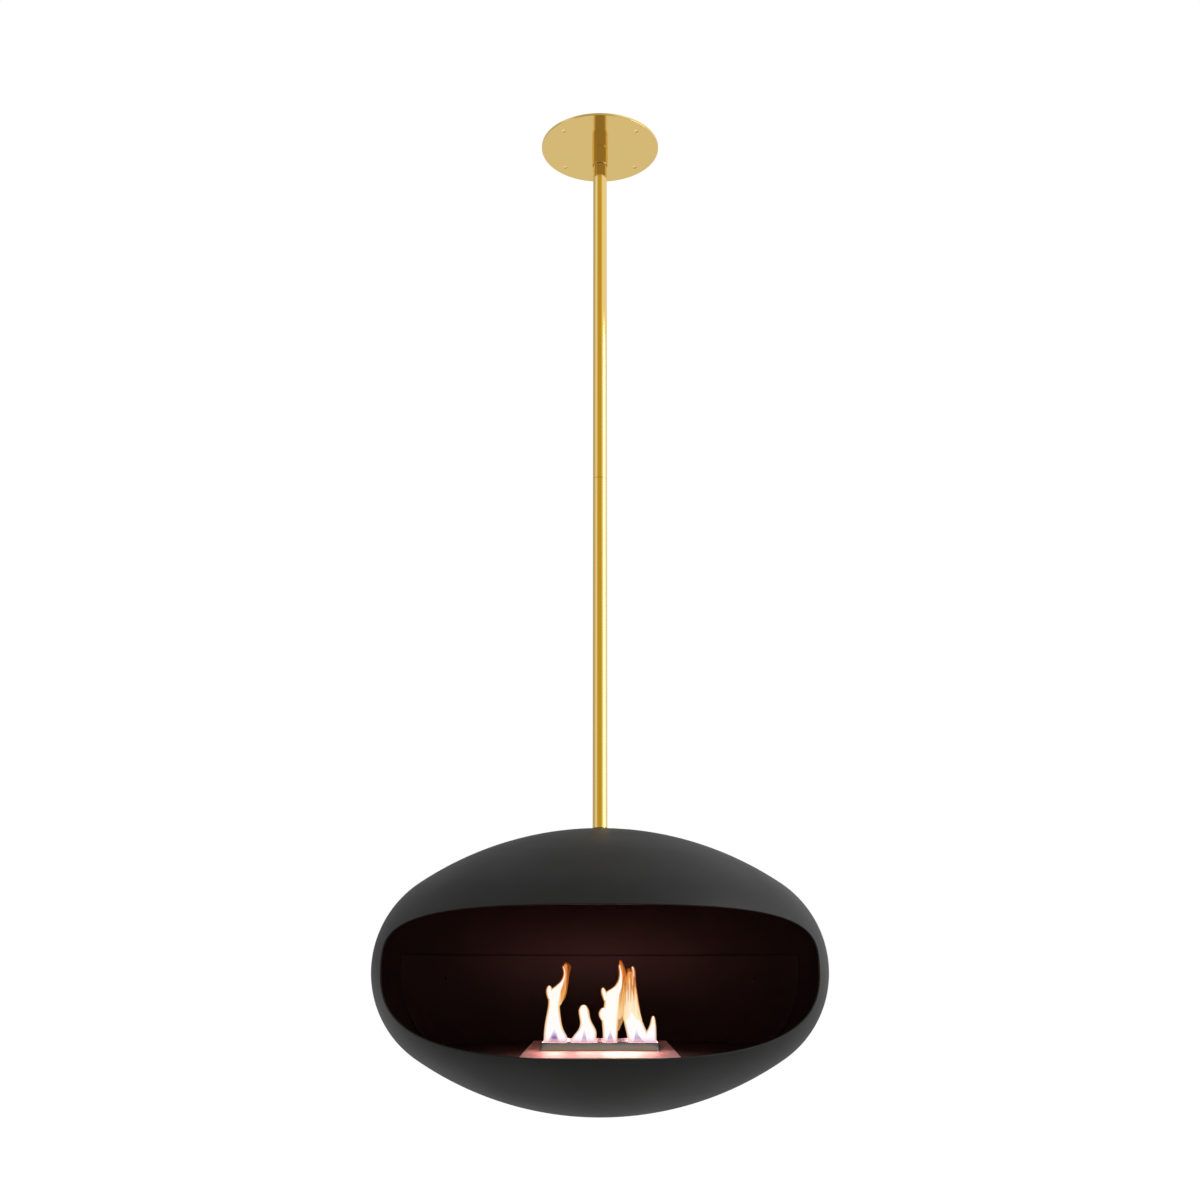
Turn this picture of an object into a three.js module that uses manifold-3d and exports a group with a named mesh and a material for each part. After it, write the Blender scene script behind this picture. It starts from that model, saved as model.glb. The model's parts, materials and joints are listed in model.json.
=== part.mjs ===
// Hanging bioethanol fireplace: a pressed steel pebble with a wide mouth, hung on a gilded pole.
// Millimetres, +Z up. The origin is the middle of the ceiling plate's top face, and the mouth looks along -Y.

import * as THREE from 'three';
import { mergeVertices } from 'three/addons/utils/BufferGeometryUtils.js';
import Module from 'manifold-3d';

const wasm = await Module();
wasm.setup();

// ---- driving dimensions ----

const seatGap = 0.3; // left between a piece and what it rests on or sits in
const runningGap = 0.2; // between the turning pole and its guide bush

// ceiling plate and the swivel in its collar
const plateRadius = 129;
const plateThickness = 5;
const plateEdgeChamfer = 0.6;
const boltHoleRadius = 4.5;
const boltSpacingX = 157;
const boltSpacingY = 140;
const collarLength = 40;
const collarWall = 1.5;
const collarChamfer = 0.4;
const bushWall = 0.6;
const bushLength = 12;
const pinRadius = 7;
const pinHeadHeight = 7;
const pinHeadClearance = 1.5; // from the pin's head to the bore of the pole
const thrustWasherThickness = 2.5;

// hanging pole
const poleRadius = 15;
const poleWall = 2.5;
const upperPoleLength = 750;
const lowerPoleLength = 750;
const poleInCollar = 22; // how far the upper pole reaches up into the collar
const poleEndChamfer = 0.5;
const upperPlugLength = 18;
const couplerLength = 90;
const couplerBoreRadius = 6;
const couplerChamfer = 1.5;
const lowerPlugLength = 45;
const studRadius = 8;
const studInPlug = 30;
const studBelowNut = 5;

// fixing under the crown of the body
const poleInCrown = 6; // how far the lower pole sinks below the crown
const bossRadius = 55;
const bossThickness = 14;
const crownWasherRadius = 17;
const crownWasherThickness = 3;
const nutAcrossFlats = 24;
const nutHeight = 13;

// pressed steel body
const bodyRadius = 450;
const bodyHalfHeight = 280;
const rimArcRadius = 204; // radius of the round rim that runs into the flatter crown
const shellWall = 3;

// mouth of the body, as two rounded halves about the height of the rim
const mouthSideMargin = 41; // from the mouth's side to the widest point of the body
const mouthTopHeight = 112.6;
const mouthTopPower = 3.57;
const mouthBottomHeight = 150.7;
const mouthBottomSidePower = 3.18;
const mouthBottomLipPower = 2.72;

// hearth floor, its brackets, the tray on it and the shield behind it
const floorBelowLip = 2.8; // from the mouth's lower lip down to the top of the floor
const hearthThickness = 3;
const studFromEdge = 36; // from the locating studs out to the edge of the floor
const bracketWidth = 30;
const bracketInnerReach = 18; // from the locating stud towards the axis
const bracketThickness = 3;
const bracketLegHeight = 24;
const locatingStudRadius = 4;
const trayWidth = 288;
const trayCornerMargin = 38; // from the tray's corners out to the edge of the floor
const trayThickness = 2;
const shieldAirGap = 6;
const shieldThickness = 1.5;
const shieldTopHeight = 32; // above the height of the rim
const shieldHalfAngle = 70; // degrees to each side of straight back
const shieldStudAngle = 50;
const shieldStudRadius = 3;
const shieldSleeveRadius = 6;
const shieldStudHeadRadius = 5;
const shieldStudHeadHeight = 2.5;
const shieldStudHeight = -20;

// burner with its sliding snuffer lid
const rimWidth = 226;
const rimDepth = 174;
const rimHeight = 15;
const rimWall = 2;
const rimLedge = 4; // how far the rim overlaps the hearth around the cut-out
const cutOutClearance = 2; // around the tank in the cut-out
const deckDrop = 10; // from the top of the rim down to the deck
const deckThickness = 1.5;
const tankDepth = 75;
const tankWall = 1.5;
const slotSideMargin = 4; // from the tank's side to the slot in the deck
const slotDepth = 50;
const slotCentreY = -30;
const coreClearance = 1.5;
const coreBelowDeck = 4;
const lidThickness = 2;
const lidOverlap = 5; // how far the closed lid covers past the slot, front and back
const lidOpenGap = 8; // from the slot to the open lid, which travels by slotDepth + lidOverlap + lidOpenGap
const lidTabWidth = 24;
const lidTabLength = 14;
const lidHookHoleRadius = 4;
const railLip = 2.5;
const railLipThickness = 1.2;
const railEndMargin = 2;

// how finely round pieces are drawn
const bodySteps = 64;
const crownSteps = 6;
const rimArcSteps = 8;
const mouthSteps = 24;
const poleSteps = 36;
const plateSteps = 72;
const smallSteps = 24;

// ---- sizes and heights worked out from them ----

const poleBore = poleRadius - poleWall;
const plugRadius = poleBore - seatGap;
const bushBore = poleRadius + runningGap;
const collarBore = bushBore + bushWall + seatGap / 2;
const collarRadius = collarBore + collarWall;
const pinHeadRadius = poleBore - pinHeadClearance;
const pinBore = pinRadius + seatGap;
const studBore = studRadius + seatGap;

const collarTop = -plateThickness;
const collarBottom = collarTop - collarLength;
const poleTop = collarBottom + poleInCollar;
const upperPlugBottom = poleTop - upperPlugLength;
const thrustWasherTop = upperPlugBottom - seatGap;
const pinHeadTop = thrustWasherTop - thrustWasherThickness - seatGap;
const pinBottom = pinHeadTop - pinHeadHeight;
const upperPoleBottom = poleTop - upperPoleLength;
const lowerPoleTop = upperPoleBottom - seatGap;
const lowerPoleBottom = lowerPoleTop - lowerPoleLength;
const couplerMiddle = (upperPoleBottom + lowerPoleTop) / 2;
const crownTop = lowerPoleBottom + poleInCrown;
const bodyMiddle = crownTop - bodyHalfHeight;
const bossBottom = crownTop - shellWall - bossThickness;
const crownWasherTop = bossBottom - seatGap;
const nutTop = crownWasherTop - crownWasherThickness - seatGap;
const studBottom = nutTop - nutHeight - studBelowNut;
const studTop = lowerPoleBottom + studInPlug;

// The crown's arc meets the rim's arc without a kink at the angle crownHalfAngle from the axis.
const rimArcCentre = bodyRadius - rimArcRadius;
const crownArcRadius = (rimArcCentre ** 2 + bodyHalfHeight ** 2 - rimArcRadius ** 2)
  / (2 * (bodyHalfHeight - rimArcRadius));
const crownArcCentre = bodyHalfHeight - crownArcRadius;
const crownHalfAngle = Math.atan2(rimArcCentre, -crownArcCentre);

const mouthHalfWidth = bodyRadius - mouthSideMargin;
const hearthDrop = mouthBottomHeight + floorBelowLip;
const hearthTop = bodyMiddle - hearthDrop;
const hearthBottom = hearthTop - hearthThickness;
const trayTop = hearthTop + trayThickness;
const rimBottom = trayTop + seatGap;
const rimTop = rimBottom + rimHeight;
const deckTop = rimTop - deckDrop;
const deckBottom = deckTop - deckThickness;
const cutOutWidth = rimWidth - 2 * rimLedge;
const cutOutDepth = rimDepth - 2 * rimLedge;
const tankWidth = cutOutWidth - 2 * cutOutClearance;
const tankLength = cutOutDepth - 2 * cutOutClearance;
const tankTop = deckBottom - seatGap;
const slotWidth = tankWidth - 2 * slotSideMargin;
const slotFront = slotCentreY - slotDepth / 2;
const slotBack = slotCentreY + slotDepth / 2;
const lidBottom = deckTop + seatGap;
const lidTop = lidBottom + lidThickness;
const lidLength = slotDepth + 2 * lidOverlap;
const lidOpenFront = slotBack + lidOpenGap;
const railOuter = rimWidth / 2 - rimWall - seatGap;
const railInner = slotWidth / 2 + seatGap;
const lidHalfWidth = railInner + railLip;

// ---- finishes ----

const finish = (color, metalness, roughness) =>
  new THREE.MeshStandardMaterial({ color, metalness, roughness });
const polishedGold = finish(0xd9ae55, 1, 0.12);
const machinedSteel = finish(0x9c9a96, 1, 0.35);
const bronze = finish(0xa87b43, 1, 0.4);
const charcoalPaint = finish(0x343536, 0.1, 0.6);
const hearthBlack = finish(0x17130f, 0.1, 0.7);
const brushedStainless = finish(0x9d9d9b, 1, 0.35);
const ceramicFibre = finish(0xece7dc, 0, 0.9);

// ---- making and cutting solids ----

const vec2 = (x, y) => new THREE.Vector2(x, y);

function signedVolume(position, index) {
  const a = new THREE.Vector3();
  const b = new THREE.Vector3();
  const c = new THREE.Vector3();
  let sum = 0;
  for (let i = 0; i < index.length; i += 3) {
    a.fromBufferAttribute(position, index[i]);
    b.fromBufferAttribute(position, index[i + 1]);
    c.fromBufferAttribute(position, index[i + 2]);
    sum += a.dot(b.cross(c)) / 6;
  }
  return sum;
}

// A closed solid from a three.js geometry: shared corners are merged, slivers at a pole are dropped,
// and the faces are turned to point out.
function solid(geometry) {
  const bare = geometry.clone();
  bare.deleteAttribute('normal');
  bare.deleteAttribute('uv');
  const merged = mergeVertices(bare, 1e-4);
  const faces = [];
  for (let i = 0; i < merged.index.count; i += 3) {
    const corners = [0, 1, 2].map((k) => merged.index.getX(i + k));
    if (new Set(corners).size === 3) {
      faces.push(corners);
    }
  }
  const inward = signedVolume(merged.attributes.position, faces.flat()) < 0;
  const triVerts = new Uint32Array(faces.flatMap(([a, b, c]) => (inward ? [a, c, b] : [a, b, c])));
  const vertProperties = new Float32Array(merged.attributes.position.array);
  return new wasm.Manifold(new wasm.Mesh({ numProp: 3, vertProperties, triVerts }));
}

function geometryOf(shape) {
  const mesh = shape.getMesh();
  const geometry = new THREE.BufferGeometry();
  geometry.setAttribute('position', new THREE.BufferAttribute(new Float32Array(mesh.vertProperties), 3));
  geometry.setIndex(new THREE.BufferAttribute(new Uint32Array(mesh.triVerts), 1));
  return geometry;
}

// Turns [radius, height] points about the Z axis. Points off the axis at both ends close into a ring.
function turned(points, steps) {
  const profile = points.map(([radius, height]) => vec2(radius, height));
  const onAxis = points[0][0] === 0 && points[points.length - 1][0] === 0;
  if (!onAxis) {
    profile.push(profile[0].clone());
  }
  const geometry = new THREE.LatheGeometry(profile, steps);
  geometry.rotateX(Math.PI / 2);
  return solid(geometry);
}

const cylinder = (radius, bottom, top, steps = smallSteps) =>
  turned([[0, bottom], [radius, bottom], [radius, top], [0, top]], steps);

const tube = (inner, outer, bottom, top, steps = smallSteps) =>
  turned([[inner, bottom], [outer, bottom], [outer, top], [inner, top]], steps);

// A tube whose outer edges are chamfered: bottomCut and topCut are the sizes of the two chamfers.
const chamferedTube = (inner, outer, bottom, top, bottomCut, topCut, steps = smallSteps) =>
  turned([
    [inner, bottom],
    [outer - bottomCut, bottom],
    [outer, bottom + bottomCut],
    [outer, top - topCut],
    [outer - topCut, top],
    [inner, top],
  ], steps);

// Extrudes a shape drawn in X and Y from one height to another.
function raised(shape, bottom, top) {
  const geometry = new THREE.ExtrudeGeometry(shape, { depth: top - bottom, bevelEnabled: false });
  geometry.translate(0, 0, bottom);
  return solid(geometry);
}

// Extrudes a shape drawn in X and Z along Y, from the back to the front.
function drawnAcross(shape, back, front) {
  const geometry = new THREE.ExtrudeGeometry(shape, { depth: back - front, bevelEnabled: false });
  geometry.rotateX(Math.PI / 2);
  geometry.translate(0, back, 0);
  return solid(geometry);
}

function rectangle(width, depth, centreX = 0, centreY = 0) {
  const [x, y] = [width / 2, depth / 2];
  const corners = [vec2(-x, -y), vec2(x, -y), vec2(x, y), vec2(-x, y)];
  return new THREE.Shape(corners.map((corner) => corner.add(vec2(centreX, centreY))));
}

const block = (width, depth, bottom, top, centreX = 0, centreY = 0) =>
  raised(rectangle(width, depth, centreX, centreY), bottom, top);

const group = new THREE.Group();

function place(parent, name, shape, material) {
  const mesh = new THREE.Mesh(geometryOf(shape), material);
  mesh.name = name;
  parent.add(mesh);
  return mesh;
}

// ---- ceiling plate, collar and swivel ----

function ceilingPlate() {
  const cut = plateEdgeChamfer;
  let plate = turned([
    [0, -plateThickness],
    [plateRadius - cut, -plateThickness],
    [plateRadius, -plateThickness + cut],
    [plateRadius, 0],
    [0, 0],
  ], plateSteps);
  for (const sideX of [-1, 1]) {
    for (const sideY of [-1, 1]) {
      const hole = cylinder(boltHoleRadius, -2 * plateThickness, plateThickness);
      const [x, y] = [sideX * boltSpacingX / 2, sideY * boltSpacingY / 2];
      plate = plate.subtract(hole.translate([x, y, 0]));
    }
  }
  return plate;
}

// The pin hangs from the plate and its head carries the thrust washer, the pole's top plug and all below.
const swivelPin = () => turned([
  [0, pinBottom],
  [pinHeadRadius, pinBottom],
  [pinHeadRadius, pinHeadTop],
  [pinRadius, pinHeadTop],
  [pinRadius, collarTop],
  [0, collarTop],
], smallSteps);

const thrustWasher = () => tube(
  pinBore, pinHeadRadius, thrustWasherTop - thrustWasherThickness, thrustWasherTop);

const ceilingCollar = () => chamferedTube(
  collarBore, collarRadius, collarBottom, collarTop, collarChamfer, 0, poleSteps);

const guideBush = () => tube(
  bushBore, bushBore + bushWall, collarBottom, collarBottom + bushLength, poleSteps);

function addCeilingMount() {
  place(group, 'ceiling_plate', ceilingPlate(), polishedGold);
  place(group, 'ceiling_collar', ceilingCollar(), polishedGold);
  place(group, 'swivel_pin', swivelPin(), machinedSteel);
  place(group, 'thrust_washer', thrustWasher(), bronze);
  place(group, 'guide_bush', guideBush(), bronze);
}

// ---- hanging pole in two lengths ----

const poleLength = (bottom, top) =>
  chamferedTube(poleBore, poleRadius, bottom, top, poleEndChamfer, poleEndChamfer, poleSteps);

const poleCoupler = () => chamferedTube(
  couplerBoreRadius, plugRadius, couplerMiddle - couplerLength / 2, couplerMiddle + couplerLength / 2,
  couplerChamfer, couplerChamfer);

// The lower plug has a blind bore for the stud that goes down through the crown.
function lowerPolePlug() {
  const body = cylinder(plugRadius, lowerPoleBottom, lowerPoleBottom + lowerPlugLength);
  return body.subtract(cylinder(studBore, lowerPoleBottom - studBore, studTop + seatGap));
}

function addPole() {
  place(group, 'upper_pole', poleLength(upperPoleBottom, poleTop), polishedGold);
  place(group, 'upper_pole_plug', tube(pinBore, plugRadius, upperPlugBottom, poleTop), machinedSteel);
  place(group, 'pole_coupler', poleCoupler(), machinedSteel);
  place(group, 'lower_pole', poleLength(lowerPoleBottom, lowerPoleTop), polishedGold);
  place(group, 'lower_pole_plug', lowerPolePlug(), machinedSteel);
  place(group, 'pole_stud', cylinder(studRadius, studBottom, studTop), machinedSteel);
}

// ---- pressed steel body ----

// Points of the body's outline above its middle, offset inwards, from the crown at startRadius to the rim.
function outline(offset, startRadius) {
  const crown = crownArcRadius - offset;
  const rim = rimArcRadius - offset;
  const startAngle = Math.asin(startRadius / crown);
  const points = [];
  for (let i = 0; i < crownSteps; i += 1) {
    const angle = startAngle + (crownHalfAngle - startAngle) * i / crownSteps;
    points.push([crown * Math.sin(angle), crownArcCentre + crown * Math.cos(angle)]);
  }
  for (let i = 0; i <= rimArcSteps; i += 1) {
    const angle = crownHalfAngle + (Math.PI / 2 - crownHalfAngle) * i / rimArcSteps;
    points.push([rimArcCentre + rim * Math.sin(angle), rim * Math.cos(angle)]);
  }
  return points;
}

// Where the drawn outline crosses a radius or a height, between two of its points.
function crossing(points, known, wanted, value) {
  const side = (point) => Math.sign(point[known] - value);
  const next = points.findIndex((point, i) => i > 0 && side(point) !== side(points[0]));
  const [before, after] = [points[next - 1], points[next]];
  const share = (value - before[known]) / (after[known] - before[known]);
  return before[wanted] + (after[wanted] - before[wanted]) * share;
}

// Height of the crown, offset inwards, at a radius from the axis.
const crownHeightAt = (radius, offset, startRadius) => crossing(outline(offset, startRadius), 0, 1, radius);

// Radius of the body, offset inwards, at a height above or below its middle.
const bodyRadiusAt = (height, offset) => crossing(outline(offset, 0), 1, 0, Math.abs(height));

function shellHalf(side, holeRadius) {
  const points = [...outline(0, holeRadius), ...outline(shellWall, holeRadius).reverse()];
  const level = points.map(([radius, height]) => [radius, bodyMiddle + side * height]);
  return turned(level, bodySteps).subtract(mouthPrism());
}

// One half of the mouth's edge, from the side at +X over the top or under the bottom to the side at -X.
function mouthHalf(height, sidePower, lipPower) {
  const points = [];
  for (let i = 0; i < 2 * mouthSteps; i += 1) {
    const angle = Math.PI * i / (2 * mouthSteps);
    const across = Math.sign(Math.cos(angle)) * Math.abs(Math.cos(angle)) ** (2 / sidePower);
    points.push(vec2(mouthHalfWidth * across, height * Math.sin(angle) ** (2 / lipPower)));
  }
  return points;
}

// The mouth is cut straight back through the front wall only.
function mouthPrism() {
  const top = mouthHalf(mouthTopHeight, mouthTopPower, mouthTopPower);
  const bottom = mouthHalf(mouthBottomHeight, mouthBottomSidePower, mouthBottomLipPower);
  const under = bottom.map((point) => vec2(-point.x, -point.y));
  const shape = new THREE.Shape([...top, ...under]);
  return drawnAcross(shape, 0, -2 * bodyRadius).translate([0, 0, bodyMiddle]);
}

// The boss is welded under the crown. Its coned top follows the crown, and the pole stands in its recess.
function crownBoss() {
  const holeRadius = poleRadius + seatGap;
  const recessRadius = holeRadius + seatGap;
  const recessFloor = lowerPoleBottom - seatGap;
  const topAt = (radius) => bodyMiddle + crownHeightAt(radius, shellWall, holeRadius) - seatGap;
  return turned([
    [studBore, bossBottom],
    [bossRadius, bossBottom],
    [bossRadius, topAt(bossRadius)],
    [recessRadius, topAt(recessRadius)],
    [recessRadius, recessFloor],
    [studBore, recessFloor],
  ], poleSteps);
}

function crownNut() {
  const corner = nutAcrossFlats / Math.sqrt(3);
  const corners = [0, 1, 2, 3, 4, 5].map((i) => vec2(corner, 0).rotateAround(vec2(0, 0), i * Math.PI / 3));
  const hexagon = raised(new THREE.Shape(corners), nutTop - nutHeight, nutTop);
  return hexagon.subtract(cylinder(studBore, nutTop - 2 * nutHeight, nutTop + nutHeight));
}

function addBody() {
  place(group, 'upper_shell', shellHalf(1, poleRadius + seatGap), charcoalPaint);
  place(group, 'lower_shell', shellHalf(-1, 0), charcoalPaint);
  place(group, 'crown_boss', crownBoss(), hearthBlack);
  place(group, 'crown_washer',
    tube(studBore, crownWasherRadius, crownWasherTop - crownWasherThickness, crownWasherTop), machinedSteel);
  place(group, 'crown_nut', crownNut(), machinedSteel);
}

// ---- hearth floor, brackets, tray and rear shield ----

const bracketAngles = [45, 135, 225, 315];
const hearthRadius = bodyRadiusAt(hearthDrop + hearthThickness, shellWall) - seatGap;
const studCircleRadius = hearthRadius - studFromEdge;

function hearthPlate() {
  let plate = cylinder(hearthRadius, hearthBottom, hearthTop, bodySteps);
  plate = plate.subtract(block(cutOutWidth, cutOutDepth, hearthBottom - hearthThickness, trayTop));
  for (const angle of bracketAngles) {
    const at = vec2(studCircleRadius, 0).rotateAround(vec2(0, 0), THREE.MathUtils.degToRad(angle));
    const hole = cylinder(locatingStudRadius + seatGap, hearthBottom - hearthThickness, trayTop);
    plate = plate.subtract(hole.translate([at.x, at.y, 0]));
  }
  return plate;
}

// A strip bent to lie under the floor and down along the wall, with a stud that locates the floor.
// Its flat outer side keeps clear of the round wall at its corners.
function hearthBracket() {
  const cornerClearance = bracketWidth / 2 * Math.tan(Math.PI / bodySteps) + seatGap;
  const wallAt = (drop) => bodyRadiusAt(drop, shellWall) - cornerClearance;
  const flangeTop = hearthDrop + hearthThickness + seatGap;
  const legBottom = flangeTop + bracketLegHeight;
  const innerEdge = studCircleRadius - bracketInnerReach;
  const corners = [
    vec2(innerEdge, -flangeTop),
    vec2(innerEdge, -flangeTop - bracketThickness),
    vec2(wallAt(flangeTop + bracketThickness) - 2 * bracketThickness, -flangeTop - bracketThickness),
    vec2(wallAt(legBottom) - bracketThickness, -legBottom),
    vec2(wallAt(legBottom), -legBottom),
    vec2(wallAt(flangeTop + bracketThickness), -flangeTop - bracketThickness),
    vec2(wallAt(flangeTop + bracketThickness), -flangeTop),
  ];
  const strip = drawnAcross(new THREE.Shape(corners), bracketWidth / 2, -bracketWidth / 2);
  const stud = cylinder(locatingStudRadius, hearthBottom - seatGap - bracketThickness / 2, hearthTop);
  return strip.translate([0, 0, bodyMiddle]).add(stud.translate([studCircleRadius, 0, 0]));
}

// The tray runs back and front as far as its corners fit on the round floor.
function hearthTray() {
  const cornerRadius = hearthRadius - trayCornerMargin;
  const trayLength = 2 * Math.sqrt(cornerRadius ** 2 - (trayWidth / 2) ** 2);
  const tray = block(trayWidth, trayLength, hearthTop, trayTop);
  return tray.subtract(block(cutOutWidth, cutOutDepth, hearthBottom, rimTop));
}

// A curved sheet that stands on the floor and follows the back wall behind an air gap.
function rearHeatShield() {
  const bottom = hearthTop + seatGap - bodyMiddle;
  const rows = 12;
  const face = (offset) => {
    const points = [];
    for (let i = 0; i <= rows; i += 1) {
      const height = bottom + (shieldTopHeight - bottom) * i / rows;
      points.push([bodyRadiusAt(height, offset), bodyMiddle + height]);
    }
    return points;
  };
  const outer = face(shellWall + shieldAirGap);
  const inner = face(shellWall + shieldAirGap + shieldThickness);
  let shield = turned([...outer, ...inner.reverse()], bodySteps).intersect(rearWedge());
  for (const side of [-1, 1]) {
    shield = shield.subtract(shieldStudHole(side));
  }
  return shield;
}

// A wedge about the axis that opens towards the back wall.
function rearWedge() {
  const half = THREE.MathUtils.degToRad(shieldHalfAngle);
  const reach = 2 * bodyRadius;
  const edge = (side) => vec2(side * reach * Math.sin(half), reach * Math.cos(half));
  const shape = new THREE.Shape([vec2(0, 0), edge(1), vec2(0, reach), edge(-1)]);
  return raised(shape, hearthBottom, bodyMiddle + 2 * shieldTopHeight);
}

// Pieces of a shield stud are drawn along +X from the axis of the body and then turned to their place.
const studStart = () => bodyRadiusAt(shieldStudHeight, shellWall);

function alongX(shape, side) {
  const angle = 90 - side * shieldStudAngle;
  return shape.rotate([0, 90, 0]).translate([0, 0, bodyMiddle + shieldStudHeight]).rotate([0, 0, angle]);
}

function shieldStudHole(side) {
  const start = studStart();
  return alongX(cylinder(shieldStudRadius + seatGap, start - 4 * shieldAirGap, start), side);
}

// A stud on the back wall: a sleeve keeps the air gap, and a low head holds the shield on.
// The wall and the shield lean and curve away from the stud's flat ends by no more than lean.
function shieldStud(side) {
  const slope = Math.abs(shieldStudHeight) / Math.sqrt(rimArcRadius ** 2 - shieldStudHeight ** 2);
  const lean = shieldSleeveRadius * (slope + Math.tan(Math.PI / bodySteps)) + 2 * seatGap;
  const wall = studStart();
  const shieldOuter = wall - shieldAirGap;
  const shieldInner = shieldOuter - shieldThickness;
  const sleeve = cylinder(shieldSleeveRadius, shieldOuter + lean, wall - lean);
  const shank = cylinder(shieldStudRadius, shieldInner - lean - shieldStudHeadHeight, wall - lean);
  const head = cylinder(shieldStudHeadRadius, shieldInner - lean - shieldStudHeadHeight, shieldInner - lean);
  return alongX(sleeve.add(shank).add(head), side);
}

function addHearth() {
  place(group, 'hearth_plate', hearthPlate(), hearthBlack);
  bracketAngles.forEach((angle, i) => {
    const turn = new THREE.Group();
    turn.rotation.z = THREE.MathUtils.degToRad(angle);
    group.add(turn);
    place(turn, `hearth_bracket_${i + 1}`, hearthBracket(), hearthBlack);
  });
  place(group, 'hearth_tray', hearthTray(), brushedStainless);
  place(group, 'rear_heat_shield', rearHeatShield(), hearthBlack);
  place(group, 'shield_stud_left', shieldStud(-1), hearthBlack);
  place(group, 'shield_stud_right', shieldStud(1), hearthBlack);
}

// ---- burner and its snuffer lid ----

function burnerRim() {
  const outside = block(rimWidth, rimDepth, rimBottom, rimTop);
  const width = rimWidth - 2 * rimWall;
  const depth = rimDepth - 2 * rimWall;
  return outside.subtract(block(width, depth, rimBottom - rimHeight, rimTop + rimHeight));
}

function burnerDeck() {
  const width = rimWidth - 2 * rimWall - 2 * seatGap;
  const depth = rimDepth - 2 * rimWall - 2 * seatGap;
  const deck = block(width, depth, deckBottom, deckTop);
  const [below, above] = [deckBottom - deckThickness, deckTop + deckThickness];
  return deck.subtract(block(slotWidth, slotDepth, below, above, 0, slotCentreY));
}

function fuelTank() {
  const outside = block(tankWidth, tankLength, tankTop - tankDepth, tankTop);
  const width = tankWidth - 2 * tankWall;
  const length = tankLength - 2 * tankWall;
  return outside.subtract(block(width, length, tankTop - tankDepth + tankWall, tankTop + tankWall));
}

function ceramicCore() {
  const width = tankWidth - 2 * tankWall - 2 * coreClearance;
  const depth = tankLength - 2 * tankWall - 2 * coreClearance;
  return block(width, depth, tankTop - tankDepth + tankWall + seatGap, deckBottom - coreBelowDeck);
}

// A rail stands on the deck beside the slot, and its lip reaches over the edge of the lid.
function lidRail(side) {
  const front = slotFront - lidOverlap - railEndMargin;
  const back = lidOpenFront + lidLength + railEndMargin;
  const lipBottom = lidTop + seatGap;
  const corners = [
    vec2(side * railOuter, deckTop),
    vec2(side * railOuter, lipBottom + railLipThickness),
    vec2(side * railInner, lipBottom + railLipThickness),
    vec2(side * railInner, lipBottom),
    vec2(side * (lidHalfWidth + seatGap), lipBottom),
    vec2(side * (lidHalfWidth + seatGap), deckTop),
  ];
  return drawnAcross(new THREE.Shape(corners), back, front);
}

// The lid is drawn open, behind the slot. A tool hooks into the hole in its tab to pull it over the slot.
function snufferLid() {
  const back = lidOpenFront + lidLength;
  const plate = block(2 * lidHalfWidth, lidLength, lidBottom, lidTop, 0, lidOpenFront + lidLength / 2);
  const tab = block(lidTabWidth, 2 * lidTabLength, lidBottom, lidTop, 0, back);
  const hole = cylinder(lidHookHoleRadius, lidBottom - lidThickness, lidTop + lidThickness);
  return plate.add(tab).subtract(hole.translate([0, back + lidTabLength / 2, 0]));
}

function addBurner() {
  place(group, 'burner_rim', burnerRim(), brushedStainless);
  place(group, 'burner_deck', burnerDeck(), brushedStainless);
  place(group, 'fuel_tank', fuelTank(), brushedStainless);
  place(group, 'ceramic_core', ceramicCore(), ceramicFibre);
  place(group, 'lid_rail_left', lidRail(-1), brushedStainless);
  place(group, 'lid_rail_right', lidRail(1), brushedStainless);
  place(group, 'snuffer_lid', snufferLid(), brushedStainless);
}

addCeilingMount();
addPole();
addBody();
addHearth();
addBurner();

export default group;
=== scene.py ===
"""Hanging bioethanol fireplace: a charcoal steel pebble on a gilded pole, with its burner alight."""
import json
import math

import bmesh
import bpy
from mathutils import Matrix, Vector


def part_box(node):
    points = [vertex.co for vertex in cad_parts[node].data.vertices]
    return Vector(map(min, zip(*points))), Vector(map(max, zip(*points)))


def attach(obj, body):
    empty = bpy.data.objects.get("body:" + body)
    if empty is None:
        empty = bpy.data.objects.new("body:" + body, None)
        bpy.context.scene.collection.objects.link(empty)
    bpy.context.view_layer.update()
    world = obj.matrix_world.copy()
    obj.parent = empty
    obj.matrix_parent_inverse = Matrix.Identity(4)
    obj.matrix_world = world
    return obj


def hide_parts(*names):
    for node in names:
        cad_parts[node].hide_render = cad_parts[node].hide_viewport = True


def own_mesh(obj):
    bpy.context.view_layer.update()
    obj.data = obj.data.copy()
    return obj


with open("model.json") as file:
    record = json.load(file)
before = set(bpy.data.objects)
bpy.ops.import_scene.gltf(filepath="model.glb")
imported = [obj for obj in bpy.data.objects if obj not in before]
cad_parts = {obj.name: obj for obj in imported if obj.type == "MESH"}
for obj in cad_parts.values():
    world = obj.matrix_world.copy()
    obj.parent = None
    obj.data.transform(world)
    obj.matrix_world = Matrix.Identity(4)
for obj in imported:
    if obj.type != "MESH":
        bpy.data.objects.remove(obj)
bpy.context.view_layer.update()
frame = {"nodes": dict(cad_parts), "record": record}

MM = 0.001
TURN = 2 * math.pi
SCENE = bpy.context.scene

# ---- sizes of the real thing, in millimetres ----

# pressed steel pebble, drawn as a crown arc that runs into a rounder rim arc
BODY_RADIUS = 450
BODY_HALF_HEIGHT = 280
RIM_ARC = 204
SHELL_WALL = 3
LIP_ROUNDING = 0.7

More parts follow.
